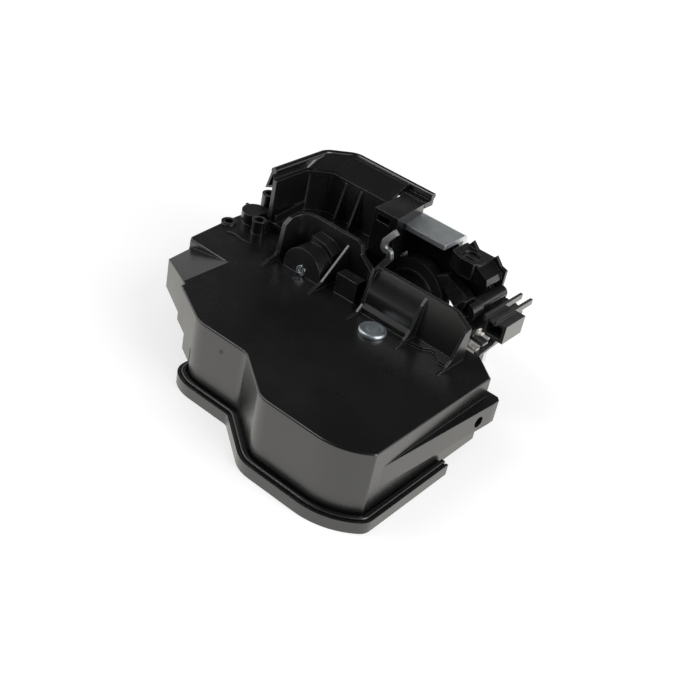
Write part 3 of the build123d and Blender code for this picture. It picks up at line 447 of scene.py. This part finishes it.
def platedMetal(name, look, shared):
    material, tree, shader = newMaterial(name)
    coords = addNode(tree, "ShaderNodeTexCoord", (-900, 0)).outputs["Object"]
    spangle = addNode(tree, "ShaderNodeTexVoronoi", (-650, 100), Scale=look["spangle"])
    tree.links.new(coords, spangle.inputs["Vector"])
    cloud = noiseNode(tree, (-650, -200), coords, **shared["cloud"]).outputs["Fac"]
    edge = useGroup(tree, edgeGroup, (-500, 400), Radius=look["edge"],
                    Strength=shared["edgeStrength"], Break_Up=shared["edgeBreakUp"])
    patches = mathNode(tree, "MULTIPLY", (-400, 0), spangle.outputs["Color"], cloud)
    tone = rangeNode(tree, (-200, 0), patches, *shared["tonePatches"])
    body = blendColour(tree, (50, 150), tone, look["dark"], look["colour"])
    # edges blended towards the highlight colour: a painted highlight
    highlighted = blendColour(tree, (300, 250), edge.outputs["Mask"], body, look["highlightColour"])
    tree.links.new(highlighted, shader.inputs["Base Color"])
    rough = rangeNode(tree, (50, -150), cloud, *shared["roughPatches"],
                      look["rough"] - shared["smoother"], look["rough"] + shared["rougher"])
    tree.links.new(rough, shader.inputs["Roughness"])
    addBump(tree, shader, (450, -300), cloud, shared["bump"], shared["bumpDepth"], edge.outputs["Normal"])
    shader.inputs["Metallic"].default_value = 1.0
    return material


finishes.update({name: platedMetal(name, look, metalShared) for name, look in metalLooks.items()})
print("metals made:", len(metalLooks))


# rubber
rubberLook = {
    "colour": (0.018, 0.018, 0.018), "bloom": (0.045, 0.045, 0.043), "bloomPatches": (0.4, 0.75),
    "rough": 0.72, "roughPatches": (0.3, 0.7), "roughSpread": 0.08,
    "grain": {"Grain_Size": 3000.0, "Grain": 0.8, "Waviness": 0.4}, "bump": 0.6, "bumpDepth": 0.00004,
}


def softRubber(look):
    material, tree, shader = newMaterial("softRubber")
    grain = useGroup(tree, grainGroup, (-500, -100), **look["grain"])
    tint = rangeNode(tree, (-200, 100), grain.outputs["Patches"], *look["bloomPatches"])
    bloomed = blendColour(tree, (50, 150), tint, look["colour"], look["bloom"])
    tree.links.new(bloomed, shader.inputs["Base Color"])
    rough = rangeNode(tree, (50, -100), grain.outputs["Patches"], *look["roughPatches"],
                      look["rough"] - look["roughSpread"], look["rough"] + look["roughSpread"])
    tree.links.new(rough, shader.inputs["Roughness"])
    addBump(tree, shader, (350, -300), grain.outputs["Height"], look["bump"], look["bumpDepth"])
    return material


finishes["softRubber"] = softRubber(rubberLook)
print("rubber made")


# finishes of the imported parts
nodeFinish = {
    "main_housing": "housingBlack",
    "bottom_cover": "coverBlack",
    "side_cover": "coverBlack",
    "latch_frame": "frameBlack",
    "rear_shield": "frameBlack",
    "cable_guide": "frameBlack",
    "connector_shroud": "socketGrey",
    "connector_pins": "tinnedBrass",
    "cover_screws": "zincScrew",
    "niche_screw": "zincScrew",
    "latch_plate": "zincPlate",
    "pivot_pin": "zincRivet",
    "catch_pin": "groundSteel",
    "pawl_pin": "groundSteel",
    "catch_core": "groundSteel",
    "catch_cover": "leverBlack",
    "catch_spring": "springWire",
    "pawl": "groundSteel",
    "release_lever": "zincLever",
    "striker_buffer": "softRubber",
    "key_nut": "leverBlack",
    "inside_lever": "zincPlate",
    "lock_lever": "acetalNatural",
    "worm_wheel": "acetalNatural",
    "wheel_axle": "groundSteel",
    "worm": "tinnedBrass",
    "motor": "motorCan",
    "motor_shaft": "groundSteel",
}
for nodeName, node in nodes.items():
    for materialSlot in node.material_slots:
        materialSlot.material = finishes[nodeFinish.get(nodeName, "frameBlack")]
print("finishes laid on", len(nodes), "nodes")


# shapes that several pieces start from
def moveExtruded(step):
    bpy.ops.mesh.extrude_region_move(TRANSFORM_OT_translate={"value": Vector(step) * mm})


def drawnLine(points):
    # an open line of edges through points given in millimetres
    bpy.ops.mesh.primitive_plane_add(size=mm, location=Vector(points[0]) * mm)
    line = bpy.context.object
    applyPlace(line)
    openAll(line)
    bpy.ops.mesh.select_mode(type="VERT")
    bpy.ops.mesh.merge(type="CENTER")
    for before, after in zip(points, points[1:]):
        moveExtruded(Vector(after) - Vector(before))
    bpy.ops.mesh.select_all(action="SELECT")
    bpy.ops.mesh.remove_doubles(threshold=0.002 * mm)
    closeEdit()
    return line


def turned(profile, steps=48):
    # a profile of (radius, height) in millimetres, turned about the Z axis
    piece = drawnLine([(radius, 0, height) for radius, height in profile])
    openAll(piece)
    bpy.ops.mesh.spin(steps=steps, angle=2 * pi, center=(0, 0, 0), axis=(0, 0, 1))
    bpy.ops.mesh.select_all(action="SELECT")
    bpy.ops.mesh.remove_doubles(threshold=0.004 * mm)
    closeOutwards()
    return piece


def wound(section, pitch, turns, hand=1, steps=26):
    # a closed section of (radius, height) wound about the Z axis, half of its length on each side of z 0
    low = -hand * pitch * turns / 2
    corners = [(radius, 0, height + low) for radius, height in section]
    piece = drawnLine(corners + corners[:1])
    winding = piece.modifiers.new("winding", "SCREW")
    winding.angle = 2 * pi * turns
    winding.screw_offset = hand * pitch * turns * mm
    winding.steps = winding.render_steps = round(steps * turns)
    applyModifiers(piece)
    openAll(piece)
    bpy.ops.mesh.fill_holes(sides=len(section))
    closeOutwards()
    return piece


def softened(piece, width, segments=2, angle=30):
    rounding = piece.modifiers.new("rounding", "BEVEL")
    rounding.width = width * mm
    rounding.segments = segments
    rounding.limit_method = "ANGLE"
    rounding.angle_limit = radians(angle)
    applyModifiers(piece)
    return piece


def slab(corners, depth, width=0.25):
    # a drawn outline in one plane, filled and given depth, with rounded edges
    piece = drawnLine(list(corners) + [corners[0]])
    openAll(piece)
    bpy.ops.mesh.edge_face_add()
    moveExtruded(depth)
    closeOutwards()
    return softened(piece, width)


def threadRidge(radius, rise, half, sink):
    # the three corners of a thread, whose foot is sunk into the wall that it stands on
    return [(radius - sink, -half), (radius + rise, 0), (radius - sink, half)]


# screws
def makeScrew(look):
    # the head's outer face is at z 0 and looks along +Z, the shank runs down
    head, headHeight, core = look["headRadius"], look["headHeight"], look["coreRadius"]
    recess, recessDepth, taper = look["recessRadius"], look["recessDepth"], look["recessTaper"]
    length, tip, tipShare = look["length"], look["tip"], look["tipShare"]
    corners = look["corners"]
    bpy.ops.mesh.primitive_circle_add(vertices=corners, radius=head * mm, fill_type="NGON",
                                      location=(0, 0, -headHeight * mm))
    screw = bpy.context.object
    applyPlace(screw)
    openAll(screw)
    moveExtruded((0, 0, headHeight))
    bpy.ops.mesh.inset(thickness=(head - recess) * mm)
    closeEdit()

    period = corners // look["armCount"]

    def cornersFromArm(vertex):
        # how many corners of the recess lie between this one and the nearest arm, or -1 off the recess
        if abs(vertex.co.z) > nearby * mm or vertex.co.length > (recess + nearby) * mm:
            return -1
        turn = round(corners * (vertex.co.xy.angle_signed(Vector((1, 0))) / (2 * pi))) % period
        return min(turn, period - turn)

    for stride, share in look["arms"]:
        openPicked(screw, "VERT", lambda vertex: cornersFromArm(vertex) == stride)
        bpy.ops.transform.resize(value=(share, share, 1), center_override=(0, 0, 0))
        closeEdit()
    openPicked(screw, "FACE", lambda face: face.normal.z > squareOn and face.center.length < nearby * mm)
    moveExtruded((0, 0, -recessDepth))
    bpy.ops.transform.resize(value=(taper, taper, 1), center_override=(0, 0, -recessDepth * mm))
    underside = (nearby - headHeight) * mm
    openPicked(screw, "FACE", lambda face: face.normal.z < -squareOn and face.center.z < underside)
    bpy.ops.mesh.inset(thickness=(head - core) * mm)
    moveExtruded((0, 0, tip - length))
    moveExtruded((0, 0, -tip))
    bpy.ops.transform.resize(value=(tipShare, tipShare, 1), center_override=(0, 0, 0))
    closeEdit()
    softened(screw, look["rounding"], angle=look["roundedFrom"])
    thread = wound(threadRidge(core, look["ridge"], look["ridgeHalf"], look["ridgeSink"]), look["pitch"],
                   (length - look["plainLength"]) / look["pitch"])
    placed(thread, (0, 0, -headHeight - length / 2))
    return joined([screw, thread])


nicheLook = {
    "place": (-41.5, -58.6, 13.2), "corners": 48,
    "headRadius": 2.4, "headHeight": 1.8, "rounding": 0.22, "roundedFrom": 50,
    "coreRadius": 1.4, "length": 11.0, "plainLength": 2.0, "tip": 0.6, "tipShare": 0.6,
    "ridge": 0.25, "ridgeHalf": 0.3, "ridgeSink": 0.05, "pitch": 0.8,
    "recessRadius": 1.35, "recessDepth": 1.1, "recessTaper": 0.9,
    "armCount": 6, "arms": ((4, 0.76), (3, 0.80), (2, 0.90)),
}
nicheScrew = placed(makeScrew(nicheLook), nicheLook["place"], (pi / 2, 0, 0))
finished(nicheScrew, "sixLobeScrew", "housing", "zincScrew")
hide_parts("niche_screw")

coverLook = {
    "places": ((45, -116), (7, -122), (-40.5, -54), (41, -56)), "headFace": -20.8,
    "firstTurn": 20, "nextTurn": 37, "corners": 48,
    "headRadius": 2.6, "headHeight": 1.6, "rounding": 0.2, "roundedFrom": 50,
    "coreRadius": 1.1, "length": 9.8, "plainLength": 2.0, "tip": 0.6, "tipShare": 0.6,
    "ridge": 0.25, "ridgeHalf": 0.3, "ridgeSink": 0.05, "pitch": 0.9,
    "recessRadius": 1.5, "recessDepth": 0.9, "recessTaper": 0.55,
    "armCount": 4, "arms": ((2, 0.46), (3, 0.36), (4, 0.32), (5, 0.30), (6, 0.29)),
}


def makeCoverScrews(look):
    screws = []
    for index, (x, y) in enumerate(look["places"]):
        turn = radians(look["firstTurn"] + look["nextTurn"] * index)
        screws.append(placed(makeScrew(look), (x, y, look["headFace"]), (pi, 0, turn)))
    return joined(screws)


coverScrews = finished(makeCoverScrews(coverLook), "crossScrews", "housing", "zincScrew")
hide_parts("cover_screws")
print("screws made")


# rivet on the deck
rivetLook = {
    "place": (4.4, -66.0, 11.0), "steps": 64,
    "profile": ((0, -29.8), (2.7, -29.8), (3.0, -29.5), (3.0, 0), (5.4, 0), (5.78, 0.12), (5.9, 0.45),
                (5.9, 1.0), (5.75, 1.4), (5.35, 1.72), (4.7, 1.92), (3.6, 2.08), (3.45, 2.0), (3.3, 2.0),
                (3.15, 2.12), (2.2, 2.23), (1.1, 2.35), (0, 2.4)),
}
pivotRivet = placed(turned(rivetLook["profile"], rivetLook["steps"]), rivetLook["place"])
finished(pivotRivet, "pivotRivet", "housing", "zincRivet", angle=40)
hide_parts("pivot_pin")

# spring of the catch, with a straight leg at each end
springLook = {
    "place": (-13.0, -19.5, 0.0), "coilRadius": 5.0, "wireRadius": 0.45, "wireSides": 10,
    "pitch": 1.0, "turns": 3, "leg": 5.4,
}


def makeSpring(look):
    coil, wire, sides = look["coilRadius"], look["wireRadius"], look["wireSides"]
    angles = [2 * pi * k / sides for k in range(sides)]
    section = [(coil + wire * cos(angle), wire * sin(angle)) for angle in angles]
    spring = wound(section, look["pitch"], look["turns"])
    reach = look["pitch"] * look["turns"] / 2
    for side in (-1, 1):
        # the closing face of each end is drawn out into the leg
        end = Vector((coil, 0, side * reach)) * mm
        openPicked(spring, "FACE", lambda face: (face.center - end).length < nearby * mm)
        moveExtruded((0, side * look["leg"], 0))
        closeEdit()
    return spring


catchSpring = placed(makeSpring(springLook), springLook["place"], (-pi / 2, 0, 0))
finished(catchSpring, "catchReturnSpring", "housing", "springWire")
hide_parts("catch_spring")

# worm on the motor's shaft
wormLook = {
    "place": (-9.939, -104.279, -4.5), "core": 2.59, "half": 8.0, "chamfer": 0.4,
    "outer": 3.9, "sink": 0.1, "footHalf": 0.72, "topHalf": 0.32, "pitch": 2.827, "turns": 5,
    "steps": 36,
}


def makeWorm(look):
    core, half, chamfer, outer = look["core"], look["half"], look["chamfer"], look["outer"]
    foot, footHalf, topHalf = core - look["sink"], look["footHalf"], look["topHalf"]
    barrel = turned(((0, -half), (core - chamfer, -half), (core, -half + chamfer), (core, half - chamfer),
                     (core - chamfer, half), (0, half)))
    ridge = [(foot, -footHalf), (outer, -topHalf), (outer, topHalf), (foot, footHalf)]
    thread = wound(ridge, look["pitch"], look["turns"], hand=-1, steps=look["steps"])
    placed(thread, (0, 0, look["pitch"] / 4))
    return joined([barrel, thread])


wormThread = placed(makeWorm(wormLook), wormLook["place"], (0, pi / 2, 0))
finished(wormThread, "wormThread", "worm", "tinnedBrass")
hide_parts("worm")

# threads in the three fixings of the plate
boreLook = {
    "places": ((-26, 13), (-26, -13), (18, -13)), "middle": -3.0, "radius": 2.5,
    "ridge": 0.28, "ridgeHalf": 0.42, "ridgeSink": 0.03, "pitch": 1.0, "turns": 5,
}


def makePlateThreads(look):
    # they stand inwards from the wall, so both the rise and the sink change sign
    ridge = threadRidge(look["radius"], -look["ridge"], look["ridgeHalf"], -look["ridgeSink"])
    return joined([placed(wound(ridge, look["pitch"], look["turns"]), (x, look["middle"], z), (pi / 2, 0, 0))
                   for x, z in look["places"]])


finished(makePlateThreads(boreLook), "plateThreads", "housing", "zincPlate")
print("rivet, spring, worm and bore threads made")


# low ridge on the deck
ridgeLook = {
    "line": ((-84.2, -59.0), (-81.7, -57.8), (-79.0, -57.5), (-75.3, -58.1), (-71.3, -57.5)),
    "foot": 10.85, "rise": 0.55, "width": 0.8, "rounding": 0.18,
}


def makeDeckRidge(look):
    line = drawnLine([(x, y, look["foot"]) for x, y in look["line"]])
    openAll(line)
    moveExtruded((0, 0, look["rise"]))
    closeEdit()
    walls = line.modifiers.new("walls", "SOLIDIFY")
    walls.thickness = look["width"] * mm
    walls.offset = 0
    applyModifiers(line)
    return softened(line, look["rounding"], angle=40)


finished(makeDeckRidge(ridgeLook), "deckRidge", "housing", "housingBlack")

# moulded ring on the front wall
ringLook = {
    "place": (-28.5, -117.5, 4.0), "steps": 32,
    "profile": ((0.5, -0.1), (0.95, -0.1), (0.92, 0.1), (0.76, 0.22), (0.6, 0.14), (0.5, -0.1)),
}
wallRing = placed(turned(ringLook["profile"], ringLook["steps"]), ringLook["place"], (pi / 2, 0, 0))
finished(wallRing, "wallRing", "housing", "housingBlack")
print("moulded details made")


# cable clip and ledge under the connector
clipLook = {
    # outlines of (x, z), with the y where each starts and how deep it is
    "bracket": (((31.0, 14.3), (31.0, 12.0), (31.6, 11.3), (38.2, 10.6), (38.6, 11.0), (38.6, 12.1),
                 (38.1, 12.4), (33.4, 12.9), (33.1, 13.2), (33.1, 14.3)), -36.0, 4.0),
    "hook": (((31.0, 12.2), (31.0, 7.6), (31.8, 6.6), (35.6, 6.4), (36.3, 7.2), (36.0, 8.1),
              (35.2, 7.6), (32.8, 7.9), (32.3, 8.4), (32.3, 12.2)), -35.6, 2.6),
    "fork": (((32.9, 14.6), (34.1, 16.9), (35.0, 16.7), (34.6, 15.3), (36.4, 15.7), (36.8, 15.0),
              (34.6, 13.9), (32.9, 13.6)), -35.4, 2.2),
}
ledgeLook = {
    # an outline of (y, z), with the x where it starts and how wide it is
    "outline": ((-35.6, 5.4), (-35.6, 6.6), (-26.2, 7.9), (-25.0, 8.8), (-25.0, 12.4), (-20.5, 12.4),
                (-20.5, 7.4), (-21.6, 6.6)),
    "x": 35.4, "width": 3.0,
}


def makeClipPart(outline, front, depth):
    return slab([(x, front, z) for x, z in outline], (0, depth, 0))


bracketPart, hookPart, forkPart = [makeClipPart(*part) for part in clipLook.values()]
ledgePart = slab([(ledgeLook["x"], y, z) for y, z in ledgeLook["outline"]], (ledgeLook["width"], 0, 0))
finished(joined([bracketPart, ledgePart]), "clipBracket", "housing", "socketGrey")
finished(joined([hookPart, forkPart]), "clipTongue", "housing", "acetalNatural")
print("cable clip made")

# shelf of the housing behind the deck's edge, under the shield
lipLook = {
    "outline": ((-74.2, -43.2), (-56.5, -43.2), (-56.5, -36.5), (-74.2, -36.5)),
    "low": 10.1, "depth": 0.8, "rounding": 0.15,
}
deckLip = slab([(x, y, lipLook["low"]) for x, y in lipLook["outline"]], (0, 0, lipLook["depth"]),
               lipLook["rounding"])
finished(deckLip, "deckLip", "housing", "housingBlack")
print("shelf made")


# studio
studio = {
    "floorSize": 8.0,
    "floorColour": (0.62, 0.62, 0.62),
    "floorGlow": 0.58,
    "mirroredTint": (1.0, 0.985, 0.94),
    "tableNear": 0.28,        # metres out to which the mirrored paper is white
    "tableFar": 0.75,         # and at which it is down to its darkest
    "tableDarkest": 0.2,
    "fillLevel": 0.42,
    "whiteBelow": 0.16,       # the room is white up to this height and dark above the next
    "darkAbove": 0.41,
    "ceiling": 0.02,
    "backdropTowards": (0.10, 0.995, 0.0),
    "backdropFades": (-0.65, -0.15),    # how far a direction leans towards the backdrop: dark, then white
    "roomBehind": 0.12,
    "lampAim": (0, -0.06, -0.01),
    "lamps": {
        "leftFront": {"place": (-1.15, -0.55, 0.75), "size": (1.0, 0.9), "power": 3.4},
        "overhead": {"place": (0.95, -0.05, 0.95), "size": (0.7, 0.7), "power": 5.0},
        "edgeLight": {"place": (-0.56, -0.44, 1.05), "size": (0.45, 0.45), "power": 2.0},
        "rightBack": {"place": (1.1, 0.10, 0.45), "size": (0.8, 0.7), "power": 4.5},
    },
}


def addLamp(name, look, target):
    bpy.ops.object.light_add(type="AREA", location=look["place"])
    lamp = bpy.context.object
    lamp.name = name
    lamp.data.shape = "RECTANGLE"
    lamp.data.size, lamp.data.size_y = look["size"]
    lamp.data.energy = look["power"]
    aim = Vector(target) - Vector(look["place"])
    lamp.rotation_mode = "QUATERNION"
    lamp.rotation_quaternion = aim.to_track_quat("-Z", "Y")


def seenDirectly(tree, place):
    # 1 for rays that should meet the white surroundings: camera, mirror-like and through glass
    x, y = place
    path = addNode(tree, "ShaderNodeLightPath", place)
    both = mathNode(tree, "ADD", (x + 200, y), path.outputs["Is Camera Ray"], path.outputs["Is Glossy Ray"])
    return mathNode(tree, "ADD", (x + 400, y), both, path.outputs["Is Transmission Ray"], clamp=True)


def makeFloor(setup):
    near, far = setup["tableNear"], setup["tableFar"]
    bpy.ops.mesh.primitive_grid_add(x_subdivisions=2, y_subdivisions=2, size=setup["floorSize"],
                                    location=(0, 0, cadBox[0].z))
    floor = bpy.context.object
    floor.name = floor.data.name = "studioFloor"
    material = bpy.data.materials.new("paperWhite")
    material.use_nodes = True
    tree = material.node_tree
    tree.nodes.clear()
    coords = addNode(tree, "ShaderNodeTexCoord", (-200, -500))
    reach = addNode(tree, "ShaderNodeVectorMath", (0, -500))
    reach.operation = "LENGTH"
    tree.links.new(coords.outputs["Object"], reach.inputs[0])
    distance = reach.outputs["Value"]

    # the paper; the lamps fall off with distance, so far paper is lifted to the same white
    paper = addNode(tree, "ShaderNodeBsdfDiffuse", (0, 0), Color=(*setup["floorColour"], 1))
    glow = addNode(tree, "ShaderNodeEmission", (0, -200))
    lift = rangeNode(tree, (250, -750), distance, near, 2 * far, setup["floorGlow"], 1.0)
    tree.links.new(lift, glow.inputs["Strength"])
    bright = addNode(tree, "ShaderNodeAddShader", (250, -100))
    tree.links.new(paper.outputs[0], bright.inputs[0])
    tree.links.new(glow.outputs[0], bright.inputs[1])
    shown = mixShaders(tree, (600, 0), seenDirectly(tree, (-400, 300)), paper.outputs[0], bright.outputs[0])

    # a glossy part mirrors the plain white paper, without the part's own shadow on it
    path = addNode(tree, "ShaderNodeLightPath", (200, 500))
    mirrored = addNode(tree, "ShaderNodeEmission", (600, -300), Color=(*setup["mirroredTint"], 1))
    shade = rangeNode(tree, (250, -500), distance, near, far, 1.0, setup["tableDarkest"])
    tree.links.new(shade, mirrored.inputs["Strength"])
    table = mixShaders(tree, (850, 0), path.outputs["Is Glossy Ray"], shown, mirrored.outputs[0])

    # the table is open from below, so that the underside can be looked at
    geometry = addNode(tree, "ShaderNodeNewGeometry", (600, 400))
    through = addNode(tree, "ShaderNodeBsdfTransparent", (850, -200))
    oneSided = mixShaders(tree, (1100, 0), geometry.outputs["Backfacing"], table, through.outputs[0])
    output = addNode(tree, "ShaderNodeOutputMaterial", (1350, 0))
    tree.links.new(oneSided, output.inputs["Surface"])
    floor.data.materials.append(material)


def makeWorld(setup):
    world = bpy.data.worlds.new("studioRoom")
    bpy.context.scene.world = world
    world.use_nodes = True
    tree = world.node_tree
    tree.nodes.clear()
    coords = addNode(tree, "ShaderNodeTexCoord", (-700, -200)).outputs["Generated"]
    split = addNode(tree, "ShaderNodeSeparateXYZ", (-500, -200))
    tree.links.new(coords, split.inputs[0])
    height = rangeNode(tree, (-300, -200), split.outputs["Z"], setup["whiteBelow"], setup["darkAbove"],
                       1.0, setup["ceiling"])
    facing = addNode(tree, "ShaderNodeVectorMath", (-500, -450))
    facing.operation = "DOT_PRODUCT"
    facing.inputs[1].default_value = setup["backdropTowards"]
    tree.links.new(coords, facing.inputs[0])
    backdrop = rangeNode(tree, (-300, -450), facing.outputs["Value"], *setup["backdropFades"],
                         setup["roomBehind"], 1.0)
    walls = mathNode(tree, "MULTIPLY", (-150, -300), height, backdrop)
    path = addNode(tree, "ShaderNodeLightPath", (-300, 100))
    seen = mathNode(tree, "MAXIMUM", (0, 0), path.outputs["Is Camera Ray"], walls)
    fill = addNode(tree, "ShaderNodeBackground", (500, 200), Strength=setup["fillLevel"])
    room = addNode(tree, "ShaderNodeBackground", (500, 0), Strength=1.0)
    tree.links.new(seen, room.inputs["Color"])
    lit = mixShaders(tree, (800, 0), seenDirectly(tree, (0, 500)), fill.outputs[0], room.outputs[0])
    output = addNode(tree, "ShaderNodeOutputWorld", (1100, 0))
    tree.links.new(lit, output.inputs["Surface"])


makeFloor(studio)
makeWorld(studio)
for lampName, lampLook in studio["lamps"].items():
    addLamp(lampName, lampLook, studio["lampAim"])
bpy.context.scene.view_settings.view_transform = "Standard"
print("studio built")

deselectAll()
